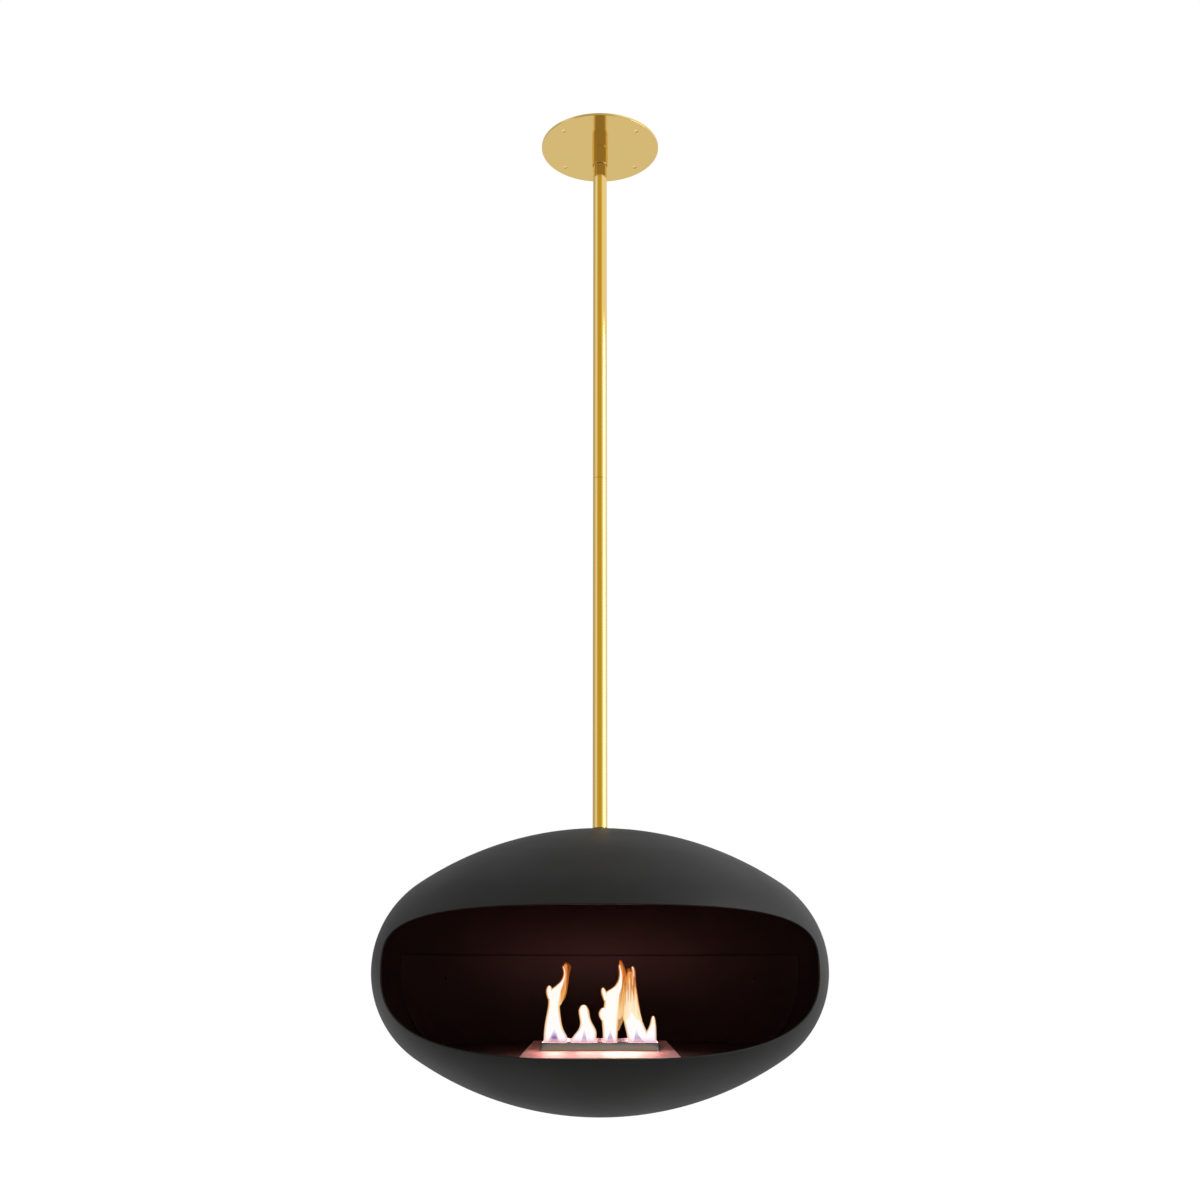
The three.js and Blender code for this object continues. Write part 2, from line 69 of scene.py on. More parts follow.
# mouth, as two rounded halves above and below the middle of the body
MOUTH_HALF_WIDTH = 409
MOUTH_TOP = 112.6
MOUTH_TOP_POWERS = (3.57, 3.57)
MOUTH_BOTTOM = 150.7
MOUTH_BOTTOM_POWERS = (3.18, 2.72)

# pole and ceiling plate
POLE_RADIUS = 15
POLE_WALL = 2.5
POLE_END_ROUNDING = 0.5
# the black ring at the pole's foot, which paints the shadow line where the pole enters the body
SHADE_GASKET_WALL = 0.9
SHADE_GASKET_HEIGHT = 6
SHADE_GASKET_STANDS_OUT = 3
SHADE_GASKET_PLAY = 0.1
SHADE_GASKET_SLOPE = 0.3
COLLAR_BORE = 15.95
COLLAR_RADIUS = 17.45
COLLAR_ROUNDING = 0.7
PLATE_ROUNDING = 0.6
BOLT_HOLE_RADIUS = 4.5
BOLT_SPACING = (157, 140)

# hearth and burner
CUT_OUT = (218, 166)
BURNER_WALL = 2
BURNER_CORNER = 1.5
SHEET_ROUNDING = 0.5
SHIELD_GAP = 6
SHIELD_THICKNESS = 1.5
SHIELD_TOP = 32
SHIELD_HALF_ANGLE = math.radians(70)
SHIELD_HEM_ANGLE = math.radians(6)
SHIELD_HEM_GAP = 0.5

# how finely round pieces are drawn
LIP_POINTS = 240
LIP_SAMPLES = 4000
SHELL_RINGS = 80
POLE_POINTS = 96
PLATE_POINTS = 160
HOLE_POINTS = 32
SHIELD_POINTS = 72
SHIELD_ROWS = 24

# camera, estimated from the photograph, in metres and degrees
CAMERA_LENS = 42.0
CAMERA_SHIFT = 0.09
CAMERA_TILT = 10.5
CAMERA_AWAY = 2.834
CAMERA_ABOVE_MIDDLE = 0.005

# studio, in metres and in light where white is one
WORLD_LIGHT = 0.76
FLOOR_BELOW = 0.55
FLOOR_SIZE = 20
FLOOR_WHITE = 1.14
FLOOR_WHITE_SHARE = 0.8  # the rest of the floor's look is its shadow
SOFTBOX_AIM = (0, 0, -1.3)
SOFTBOXES = (  # name, place, size and radiance
    ("right_softbox", (2.6, -0.8, -0.35), (1.5, 2.2), 3.3),
    ("left_softbox", (-2.6, -1.2, -0.3), (1.8, 3.7), 0.35),
)

# the room that metal and gloss see, as parts of a direction of unit length: where its darker, warmer zone
# begins and is full, from the side and from above, where that zone turns warm, and where the walls brighten
ZONE_HEADING = (-0.07, -1, 0)
ZONE_SIDE = (0.82, 0.88)
ZONE_TOP = (0.58, 0.5)
ZONE_WARMS = (0.04, 0.08)
WALLS_ACROSS = (-0.6, 0.6)
# a painted shadow on the floor that glossy rays see, in place of the body's real shadow
FLOOR_PAINTED_SHADE = (1.6, -0.6)  # in metres, from back to front

# Every ray but the camera's sees the fire this much stronger and in this one colour. Both were matched to
# the glow on the photograph's tray and walls, and aren't the light of a real flame.
FIRE_LIGHT = 14.0
FIRE_LIGHT_COLOUR = "#ff958c"

# noise lies mostly in this range
NOISE = {"From Min": 0.3, "From Max": 0.7}

# ---- sizes worked out from them ----

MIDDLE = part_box("upper_shell")[0].z / MM
RIM_CENTRE = BODY_RADIUS - RIM_ARC
CROWN_ARC = (RIM_CENTRE**2 + BODY_HALF_HEIGHT**2 - RIM_ARC**2) / (2 * (BODY_HALF_HEIGHT - RIM_ARC))
CROWN_CENTRE = BODY_HALF_HEIGHT - CROWN_ARC
CROWN_ANGLE = math.atan2(RIM_CENTRE, -CROWN_CENTRE)
CROWN_EDGE = CROWN_ARC * math.sin(CROWN_ANGLE)
FOOT_TOP = MIDDLE + BODY_HALF_HEIGHT + SHADE_GASKET_STANDS_OUT
DECK_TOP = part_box("burner_deck")[1].z / MM

# ---- materials ----


def srgb(code):
    """A hex colour as linear light, with full alpha."""
    parts = [int(code[i:i + 2], 16) / 255 for i in (1, 3, 5)]
    return [c / 12.92 if c <= 0.04045 else ((c + 0.055) / 1.055) ** 2.4 for c in parts] + [1.0]


def add(tree, kind, inputs=None, stops=(), **settings):
    """Adds a node. An input takes a value or the socket that feeds it, and a ramp (position, hex) stops."""
    node = tree.nodes.new(kind)
    for name, value in settings.items():
        setattr(node, name, value)
    for key, value in (inputs or {}).items():
        if isinstance(value, bpy.types.NodeSocket):
            tree.links.new(value, node.inputs[key])
        else:
            node.inputs[key].default_value = value
    if stops:
        points = node.color_ramp.elements
        while len(points) < len(stops):
            points.new(0.5)
        for point, (position, code) in zip(points, stops):
            point.position = position
            point.color = srgb(code)
    return node


def material(name):
    made = bpy.data.materials.new(name)
    made.use_nodes = True
    made.node_tree.nodes.clear()
    return made, made.node_tree


def surface(made, tree, inputs):
    """Closes a material with one surface shader."""
    shader = add(tree, "ShaderNodeBsdfPrincipled", inputs)
    add(tree, "ShaderNodeOutputMaterial", {"Surface": shader.outputs[0]})
    return made


def grain(tree, size, stretch=(1, 1, 1), detail=2.0):
    """Noise whose spots are size millimetres across, stretched along an axis by a share below one."""
    place = add(tree, "ShaderNodeTexCoord")
    scaled = add(tree, "ShaderNodeMapping", {"Vector": place.outputs["Object"], "Scale": stretch})
    return add(tree, "ShaderNodeTexNoise", {
        "Vector": scaled.outputs["Vector"], "Scale": 1 / (size * MM), "Detail": detail})


def polished_gold():
    """Polished gold PVD on steel: a mirror that turns white light to warm gold, with a trace of haze."""
    made, tree = material("polished_gold_pvd")
    haze = add(tree, "ShaderNodeMapRange", {
        "Value": grain(tree, 60, detail=3.0).outputs[0], **NOISE, "To Min": 0.06, "To Max": 0.10})
    marks = grain(tree, 1.2, (1, 1, 0.02))
    bump = add(tree, "ShaderNodeBump", {"Height": marks.outputs[0], "Strength": 0.02, "Distance": 0.1 * MM})
    return surface(made, tree, {
        "Base Color": srgb("#f4d383"), "Metallic": 1.0, "Roughness": haze.outputs[0],
        "Normal": bump.outputs["Normal"]})


def stove_paint():
    """Matt charcoal stove paint sprayed on steel: dark and even, with a fine dry grain and a soft sheen."""
    made, tree = material("matt_charcoal_stove_paint")
    mottle = grain(tree, 90, detail=3.0)
    colour = add(tree, "ShaderNodeValToRGB", {"Fac": mottle.outputs[0]},
                 stops=[(0.35, "#171717"), (0.65, "#1b1b1b")])
    sheen = add(tree, "ShaderNodeMapRange", {
        "Value": grain(tree, 140).outputs[0], **NOISE, "To Min": 0.50, "To Max": 0.56})
    speck = grain(tree, 2.2, detail=4.0)  # real spray grain is about 0.3 mm, drawn coarser so that it shows
    bump = add(tree, "ShaderNodeBump", {"Height": speck.outputs[0], "Strength": 0.12, "Distance": 0.15 * MM})
    return surface(made, tree, {
        "Base Color": colour.outputs["Color"], "Roughness": sheen.outputs[0], "IOR": 1.36,
        "Normal": bump.outputs["Normal"]})


def hearth_paint():
    """Matt heat-resistant black on sheet steel: nearly black, a little brown where the fire has baked it."""
    made, tree = material("matt_black_hearth_paint")
    baked = grain(tree, 120, detail=3.0)
    colour = add(tree, "ShaderNodeValToRGB", {"Fac": baked.outputs[0]},
                 stops=[(0.35, "#131111"), (0.65, "#191615")])
    speck = grain(tree, 2.5, detail=4.0)
    bump = add(tree, "ShaderNodeBump", {"Height": speck.outputs[0], "Strength": 0.15, "Distance": 0.2 * MM})
    return surface(made, tree, {
        "Base Color": colour.outputs["Color"], "Roughness": 0.55, "IOR": 1.37,
        "Normal": bump.outputs["Normal"]})


def brushed_stainless(name, dark, light, smoothest, roughest):
    """Stainless sheet brushed along its length: satin grey with fine streaks across the view."""
    made, tree = material(name)
    streaks = grain(tree, 1.6, (0.02, 1, 1), detail=3.0)  # real brush lines are about 0.2 mm apart
    colour = add(tree, "ShaderNodeValToRGB", {"Fac": streaks.outputs[0]},
                 stops=[(0.3, dark), (0.7, light)])
    rough = add(tree, "ShaderNodeMapRange", {
        "Value": streaks.outputs[0], **NOISE, "To Min": smoothest, "To Max": roughest})
    bump = add(tree, "ShaderNodeBump", {"Height": streaks.outputs[0], "Strength": 0.1, "Distance": 0.05 * MM})
    return surface(made, tree, {
        "Base Color": colour.outputs["Color"], "Metallic": 1.0, "Roughness": rough.outputs[0],
        "Normal": bump.outputs["Normal"]})


def machined_steel():
    """Turned, zinc-plated steel: cool grey with fine rings from the tool."""
    made, tree = material("turned_zinc_plated_steel")
    rings = grain(tree, 1.0, (0.05, 0.05, 1))
    rough = add(tree, "ShaderNodeMapRange", {
        "Value": rings.outputs[0], **NOISE, "To Min": 0.25, "To Max": 0.4})
    bump = add(tree, "ShaderNodeBump", {"Height": rings.outputs[0], "Strength": 0.1, "Distance": 0.05 * MM})
    return surface(made, tree, {
        "Base Color": srgb("#a9a9a6"), "Metallic": 1.0, "Roughness": rough.outputs[0],
        "Normal": bump.outputs["Normal"]})


def bearing_bronze():
    """Turned, oiled bronze: brown-gold with darker patches of oil."""
    made, tree = material("oiled_bearing_bronze")
    oil = grain(tree, 12, detail=3.0)
    colour = add(tree, "ShaderNodeValToRGB", {"Fac": oil.outputs[0]},
                 stops=[(0.35, "#c1904c"), (0.65, "#dcae66")])
    rough = add(tree, "ShaderNodeMapRange", {
        "Value": oil.outputs[0], **NOISE, "To Min": 0.28, "To Max": 0.42})
    return surface(made, tree, {
        "Base Color": colour.outputs["Color"], "Metallic": 1.0, "Roughness": rough.outputs[0]})


def shade_gasket_rubber():
    """Moulded silicone rubber: deep black with a soft, slightly dusty sheen. Its near-black also paints the
    shade at the pole's foot.
    """
    made, tree = material("moulded_rubber_painted_shade")
    dust = grain(tree, 4, detail=3.0)
    colour = add(tree, "ShaderNodeValToRGB", {"Fac": dust.outputs[0]},
                 stops=[(0.35, "#060606"), (0.65, "#0b0b0b")])
    return surface(made, tree, {
        "Base Color": colour.outputs["Color"], "Roughness": 0.7, "IOR": 1.4})


def ceramic_fibre():
    """Pressed ceramic fibre: chalky off-white felt with a soft, uneven surface."""
    made, tree = material("pressed_ceramic_fibre")
    felt = grain(tree, 3, detail=5.0)
    colour = add(tree, "ShaderNodeValToRGB", {"Fac": felt.outputs[0]},
                 stops=[(0.35, "#d9d2c4"), (0.65, "#efe9dd")])
    bump = add(tree, "ShaderNodeBump", {"Height": felt.outputs[0], "Strength": 0.4, "Distance": 0.6 * MM})
    return surface(made, tree, {
        "Base Color": colour.outputs["Color"], "Roughness": 0.9, "Normal": bump.outputs["Normal"]})


# ---- shapes ----


def piece(name, bm, *finishes):
    """A mesh object at the origin, smooth shaded, with its finishes."""
    mesh = bpy.data.meshes.new(name)
    bm.to_mesh(mesh)
    bm.free()
    mesh.shade_smooth()
    for finish in finishes:
        mesh.materials.append(finish)
    made = bpy.data.objects.new(name, mesh)
    SCENE.collection.objects.link(made)
    return made


def settle(bm):
    """Joins doubled points and turns the faces outwards."""
    bmesh.ops.remove_doubles(bm, verts=bm.verts, dist=0.001 * MM)
    bmesh.ops.recalc_face_normals(bm, faces=bm.faces)


def round_edges(made, radius, angle=math.radians(40)):
    """A small round on every sharp edge, which catches the light as a real edge does."""
    rounding = made.modifiers.new("rounding", "BEVEL")
    rounding.width = radius * MM
    rounding.segments = 2
    rounding.limit_method = "ANGLE"
    rounding.angle_limit = angle
    rounding.harden_normals = True
    return made


def spun(name, profile, points, finish):
    """A profile of (radius, height) points turned about the pole's axis."""
    bm = bmesh.new()
    verts = [bm.verts.new((radius * MM, 0, height * MM)) for radius, height in profile]
    edges = [bm.edges.new((a, b)) for a, b in zip(verts, verts[1:] + verts[:1])]
    bmesh.ops.spin(bm, geom=verts + edges, axis=(0, 0, 1), angle=TURN, steps=points, use_merge=True)
    settle(bm)
    return piece(name, bm, finish)


def tube(name, bore, radius, node, finish, rounding):
    """A round tube as long as the node that it stands for."""
    low, high = (corner.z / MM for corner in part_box(node))
    profile = [(bore, low), (radius, low), (radius, high), (bore, high)]
    return round_edges(spun(name, profile, POLE_POINTS, finish), rounding)


def pole_shade_gasket(shade_rubber):
    """The thin black ring round the pole where it enters the body: a gasket that also stands in for the dark
    shadow line there, as painted shade.
    """
    bore, rim, bottom = POLE_RADIUS + SHADE_GASKET_PLAY, POLE_RADIUS + SHADE_GASKET_WALL, FOOT_TOP - SHADE_GASKET_HEIGHT
    profile = [(bore, FOOT_TOP), (rim, FOOT_TOP - SHADE_GASKET_SLOPE), (rim, bottom), (bore, bottom)]
    return spun("pole_shade_gasket", profile, POLE_POINTS, shade_rubber)


def reach_to_surface(across, up, offset):
    """Distance from the middle of the body to its surface along a direction of unit length."""
    crown = CROWN_ARC - offset
    reach = up * CROWN_CENTRE + math.sqrt(crown**2 - CROWN_CENTRE**2 * (1 - up**2))
    if reach * across <= CROWN_EDGE * crown / CROWN_ARC:
        return reach
    rim = RIM_ARC - offset
    return across * RIM_CENTRE + math.sqrt(rim**2 - RIM_CENTRE**2 * (1 - across**2))


def on_shell(direction, offset=0):
    """The point of the body's surface in a direction from its middle, in metres."""
    unit = direction.normalized()
    reach = reach_to_surface(math.hypot(unit.x, unit.y), abs(unit.z), offset)
    return (unit * reach + Vector((0, 0, MIDDLE))) * MM


def radius_at(height, offset=0):
    """Radius of the body's rim at a height from its middle."""
    return RIM_CENTRE + math.sqrt((RIM_ARC - offset) ** 2 - height**2)


def mouth_edge(count):
    """Points of the mouth's edge as (across, up), evenly spaced along it."""
    outline = []
    for i in range(LIP_SAMPLES + 1):
        c, s = math.cos(TURN * i / LIP_SAMPLES), math.sin(TURN * i / LIP_SAMPLES)
        side, lip = MOUTH_TOP_POWERS if s > 0 else MOUTH_BOTTOM_POWERS
        height = MOUTH_TOP if s > 0 else MOUTH_BOTTOM
        across = math.copysign(abs(c) ** (2 / side), c) * MOUTH_HALF_WIDTH
        outline.append(Vector((across, math.copysign(abs(s) ** (2 / lip), s) * height)))
    lengths = [(b - a).length for a, b in zip(outline, outline[1:])]
    spacing = sum(lengths) / count
    points, walked = [], 0.0
    for start, length in zip(outline, lengths):
        if walked >= len(points) * spacing and len(points) < count:
            points.append(start)
        walked += length
    return points


def pebble_shell(paint, inside):
    """The body's skin: rings that run from the mouth's edge round to the middle of the back."""
    bm = bmesh.new()
    ring = bmesh.ops.create_circle(bm, segments=LIP_POINTS, radius=1)["verts"]
    for vert, (across, up) in zip(ring, mouth_edge(LIP_POINTS)):
        front = -math.sqrt(radius_at(up) ** 2 - across**2)
        vert.co = on_shell(Vector((across, front, up)))
    middle = Vector((0, 0, MIDDLE)) * MM
    edges = list(bm.edges)
    for left in range(SHELL_RINGS, 0, -1):
        grown = bmesh.ops.extrude_edge_only(bm, edges=edges)["geom"]
        edges = [part for part in grown if isinstance(part, bmesh.types.BMEdge)]
        ring = [part for part in grown if isinstance(part, bmesh.types.BMVert)]
        for vert in ring:
            away = vert.co - middle
            angle = away.angle(Vector((0, -1, 0)))
            further = angle + (math.pi - angle) / left
            side = Vector((away.x, 0, away.z)).normalized()
            vert.co = on_shell(side * math.sin(further) + Vector((0, -math.cos(further), 0)))
    bmesh.ops.remove_doubles(bm, verts=ring, dist=0.01 * MM)
    settle(bm)
    shell = piece("pebble_shell", bm, paint, inside)
    wall = shell.modifiers.new("wall", "SOLIDIFY")
    wall.thickness = SHELL_WALL * MM
    wall.offset = -1
    wall.use_even_offset = True
    wall.material_offset = 1
    return round_edges(shell, LIP_ROUNDING)


def ceiling_plate(gold):
    """The round plate with its four empty bolt holes."""
    low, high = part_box("ceiling_plate")
    bm = bmesh.new()
    bmesh.ops.create_circle(bm, segments=PLATE_POINTS, radius=(high.x - low.x) / 2)
    for x in (-1, 1):
        for y in (-1, 1):
            at = Vector((x * BOLT_SPACING[0], y * BOLT_SPACING[1], 0)) * MM / 2
            bmesh.ops.create_circle(bm, segments=HOLE_POINTS, radius=BOLT_HOLE_RADIUS * MM,
                                    matrix=Matrix.Translation(at))
    bmesh.ops.triangle_fill(bm, use_beauty=True, use_dissolve=False, edges=bm.edges)
    bmesh.ops.translate(bm, verts=bm.verts, vec=(0, 0, low.z))
    grown = bmesh.ops.extrude_face_region(bm, geom=bm.faces[:])["geom"]
    top = [part for part in grown if isinstance(part, bmesh.types.BMVert)]
    bmesh.ops.translate(bm, verts=top, vec=(0, 0, high.z - low.z))
    settle(bm)
    return round_edges(piece("polished_plate", bm, gold), PLATE_ROUNDING)


def burner_frame(steel):
    """The folded rim of the burner, open above and below."""
    low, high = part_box("burner_rim")
    bm = bmesh.new()
    size = high - low
    bmesh.ops.create_cube(bm, size=1,
                          matrix=Matrix.Translation((low + high) / 2) @ Matrix.Diagonal((*size, 1)))
    flat = [face for face in bm.faces if abs(face.normal.z) > 0.5]
    bmesh.ops.delete(bm, geom=flat, context="FACES_ONLY")
    upright = [edge for edge in bm.edges if abs(edge.verts[0].co.z - edge.verts[1].co.z) > size.z / 2]
    bmesh.ops.bevel(bm, geom=upright, offset=BURNER_CORNER * MM, segments=4, profile=0.5,
                    affect="EDGES", material=-1)
    bmesh.ops.recalc_face_normals(bm, faces=bm.faces)
    bmesh.ops.solidify(bm, geom=bm.faces[:], thickness=BURNER_WALL * MM)
    return round_edges(piece("burner_frame", bm, steel), SHEET_ROUNDING, angle=math.radians(60))


def hearth_sheet(steel):
    """The loose steel tray under the burner, with its cut-out."""
    low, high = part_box("hearth_tray")
    bm = bmesh.new()
    bmesh.ops.create_grid(bm, x_segments=3, y_segments=3, size=1)
    across = [low.x, -CUT_OUT[0] / 2 * MM, CUT_OUT[0] / 2 * MM, high.x]
    along = [low.y, -CUT_OUT[1] / 2 * MM, CUT_OUT[1] / 2 * MM, high.y]
    for vert in bm.verts:
        column, row = round((vert.co.x + 1) * 1.5), round((vert.co.y + 1) * 1.5)
        vert.co = (across[column], along[row], low.z)
    centre = min(bm.faces, key=lambda face: face.calc_center_median().xy.length)
    bmesh.ops.delete(bm, geom=[centre], context="FACES_ONLY")
    grown = bmesh.ops.extrude_face_region(bm, geom=bm.faces[:])["geom"]
    top = [part for part in grown if isinstance(part, bmesh.types.BMVert)]
    bmesh.ops.translate(bm, verts=top, vec=(0, 0, high.z - low.z))
    settle(bm)
    return round_edges(piece("hearth_sheet", bm, steel), SHEET_ROUNDING)


def rear_shield(paint):
    """The curved sheet in front of the back wall."""
    offset = SHELL_WALL + SHIELD_GAP
    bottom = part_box("rear_heat_shield")[0].z / MM - MIDDLE
    heights = [bottom + (SHIELD_TOP - bottom) * i / SHIELD_ROWS for i in range(SHIELD_ROWS + 1)]
    outer = [(radius_at(height, offset), MIDDLE + height) for height in heights]
    inner = [(radius_at(height, offset + SHIELD_THICKNESS), MIDDLE + height) for height in reversed(heights)]
    bm = bmesh.new()
    verts = [bm.verts.new((radius * MM, 0, height * MM)) for radius, height in outer + inner]
    section = bm.faces.new(verts)
    bmesh.ops.spin(bm, geom=[section], axis=(0, 0, 1), angle=2 * SHIELD_HALF_ANGLE, steps=SHIELD_POINTS)
    settle(bm)
    turn = Matrix.Rotation(math.pi / 2 - SHIELD_HALF_ANGLE, 4, "Z")
    bmesh.ops.transform(bm, matrix=turn, verts=bm.verts)
    for vert in bm.verts:
        past = abs(math.atan2(vert.co.x, vert.co.y)) - (SHIELD_HALF_ANGLE - SHIELD_HEM_ANGLE)
        if past > 0:
            outwards = (SHIELD_GAP - SHIELD_HEM_GAP) * math.sin(past / SHIELD_HEM_ANGLE * math.pi / 2) ** 2
            vert.co += Vector((vert.co.x, vert.co.y, 0)).normalized() * outwards * MM
    return round_edges(piece("rear_shield_sheet", bm, paint), SHEET_ROUNDING)


# ---- studio ----


def place_camera():
    """About the photograph's view: level with the body's middle, tilted up to take in the ceiling plate."""
    camera = bpy.data.cameras.new("photograph")
    camera.sensor_width = 36
    camera.lens = CAMERA_LENS
    camera.shift_y = CAMERA_SHIFT
    camera.clip_end = 50
    made = bpy.data.objects.new("photograph", camera)
    made.location = (0, -CAMERA_AWAY, MIDDLE * MM + CAMERA_ABOVE_MIDDLE)
    made.rotation_euler = (math.radians(90 + CAMERA_TILT), 0, 0)
    SCENE.collection.objects.link(made)
    SCENE.camera = made


def softbox(name, place, size, radiance):
    """A large soft white lamp whose face has the given radiance, aimed at the pole."""
    lamp = bpy.data.lights.new(name, "AREA")
    lamp.shape = "RECTANGLE"
    lamp.size, lamp.size_y = size
    lamp.energy = radiance * math.pi * size[0] * size[1]
    made = bpy.data.objects.new(name, lamp)
    made.location = place
    made.rotation_euler = (Vector(SOFTBOX_AIM) - Vector(place)).to_track_quat("-Z", "Y").to_euler()
    made.visible_camera = False
    SCENE.collection.objects.link(made)


def seen_by(tree, *rays):
    """One for the named kinds of ray, and none for the rest."""
    path = add(tree, "ShaderNodeLightPath")
    seen = path.outputs[rays[0]]
    for ray in rays[1:]:
        seen = add(tree, "ShaderNodeMath", {0: seen, 1: path.outputs[ray]}, operation="MAXIMUM").outputs[0]
    return seen


def mirrored_room(tree):
    """The room that metal and gloss see: pale walls, and a darker, warmer zone behind the camera."""
    way = add(tree, "ShaderNodeTexCoord").outputs["Generated"]
    parts = add(tree, "ShaderNodeSeparateXYZ", {0: way})
    level = add(tree, "ShaderNodeVectorMath", {0: way, 1: (1, 1, 0)}, operation="MULTIPLY")
    heading = add(tree, "ShaderNodeVectorMath", {0: level.outputs[0]}, operation="NORMALIZE")
    behind = add(tree, "ShaderNodeVectorMath", {0: heading.outputs[0], 1: ZONE_HEADING},
                 operation="DOT_PRODUCT")
    near = add(tree, "ShaderNodeMapRange", {
        "Value": behind.outputs["Value"], "From Min": ZONE_SIDE[0], "From Max": ZONE_SIDE[1]},
        interpolation_type="SMOOTHSTEP")
    under = add(tree, "ShaderNodeMapRange", {
        "Value": parts.outputs["Z"], "From Min": ZONE_TOP[0], "From Max": ZONE_TOP[1]},
        interpolation_type="SMOOTHSTEP")
    shade = add(tree, "ShaderNodeMath", {0: near.outputs[0], 1: under.outputs[0]}, operation="MULTIPLY")
    rise = add(tree, "ShaderNodeMapRange", {
        "Value": parts.outputs["Z"], "From Min": ZONE_WARMS[0], "From Max": ZONE_WARMS[1]})
    zone = add(tree, "ShaderNodeMix", {"Factor": rise.outputs[0], "A": srgb("#a6a6a6"), "B": srgb("#c4aa38")},
               data_type="RGBA")
    across = add(tree, "ShaderNodeMapRange", {
        "Value": parts.outputs["X"], "From Min": WALLS_ACROSS[0], "From Max": WALLS_ACROSS[1]})
    walls = add(tree, "ShaderNodeValToRGB", {"Fac": across.outputs[0]},
                stops=[(0.0, "#bebebe"), (0.5, "#b6b6b6"), (1.0, "#f4f4f4")])
    return add(tree, "ShaderNodeMix", {
        "Factor": shade.outputs[0], "A": walls.outputs["Color"], "B": zone.outputs["Result"]},
        data_type="RGBA")


def studio_world():
    """Even white light from all round and a white background. Glossy rays see the mirrored room instead."""
    world = bpy.data.worlds.new("studio")
    world.use_nodes = True
    tree = world.node_tree
    tree.nodes.clear()
    room = mirrored_room(tree)
    light = add(tree, "ShaderNodeBackground", {"Color": srgb("#ffffff"), "Strength": WORLD_LIGHT})
    mirrored = add(tree, "ShaderNodeBackground", {"Color": room.outputs["Result"], "Strength": 1.0})
    white = add(tree, "ShaderNodeBackground", {"Color": srgb("#ffffff"), "Strength": 1.0})
    first = add(tree, "ShaderNodeMixShader", {
        0: seen_by(tree, "Is Glossy Ray"), 1: light.outputs[0], 2: mirrored.outputs[0]})
    mixed = add(tree, "ShaderNodeMixShader", {
        0: seen_by(tree, "Is Camera Ray", "Is Transmission Ray"), 1: first.outputs[0], 2: white.outputs[0]})
    add(tree, "ShaderNodeOutputWorld", {"Surface": mixed.outputs[0]})
    SCENE.world = world


def studio_floor():
    """A wide white floor that keeps a soft shadow. Glossy rays see it with a painted shadow instead, darker
    from behind the body to the front.
    """
    made, tree = material("white_studio_floor")
    matt = add(tree, "ShaderNodeBsdfDiffuse", {"Color": srgb("#d8d8d8")})
    white = add(tree, "ShaderNodeEmission", {"Color": srgb("#ffffff"), "Strength": FLOOR_WHITE})
    place = add(tree, "ShaderNodeTexCoord")
    parts = add(tree, "ShaderNodeSeparateXYZ", {0: place.outputs["Object"]})
    # painted shadow: the floor that glossy rays see darkens from behind the body to the front
    painted_shade = add(tree, "ShaderNodeMapRange", {
        "Value": parts.outputs["Y"], "From Min": FLOOR_PAINTED_SHADE[0], "From Max": FLOOR_PAINTED_SHADE[1]},
        interpolation_type="SMOOTHSTEP")
    room = add(tree, "ShaderNodeMix", {
        "Factor": painted_shade.outputs[0], "A": srgb("#dedede"), "B": srgb("#9a9896")}, data_type="RGBA")
    mirrored = add(tree, "ShaderNodeEmission", {"Color": room.outputs["Result"], "Strength": 1.0})
    share = add(tree, "ShaderNodeMath", {
        0: seen_by(tree, "Is Camera Ray", "Is Transmission Ray"), 1: FLOOR_WHITE_SHARE}, operation="MULTIPLY")
    first = add(tree, "ShaderNodeMixShader", {
        0: seen_by(tree, "Is Glossy Ray"), 1: matt.outputs[0], 2: mirrored.outputs[0]})
    mixed = add(tree, "ShaderNodeMixShader", {0: share.outputs[0], 1: first.outputs[0], 2: white.outputs[0]})
    add(tree, "ShaderNodeOutputMaterial", {"Surface": mixed.outputs[0]})
    bm = bmesh.new()
    bmesh.ops.create_grid(bm, x_segments=1, y_segments=1, size=FLOOR_SIZE)
    bmesh.ops.translate(bm, verts=bm.verts, vec=(0, 0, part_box("lower_shell")[0].z - FLOOR_BELOW))
    piece("studio_floor", bm, made)


# ---- flames ----

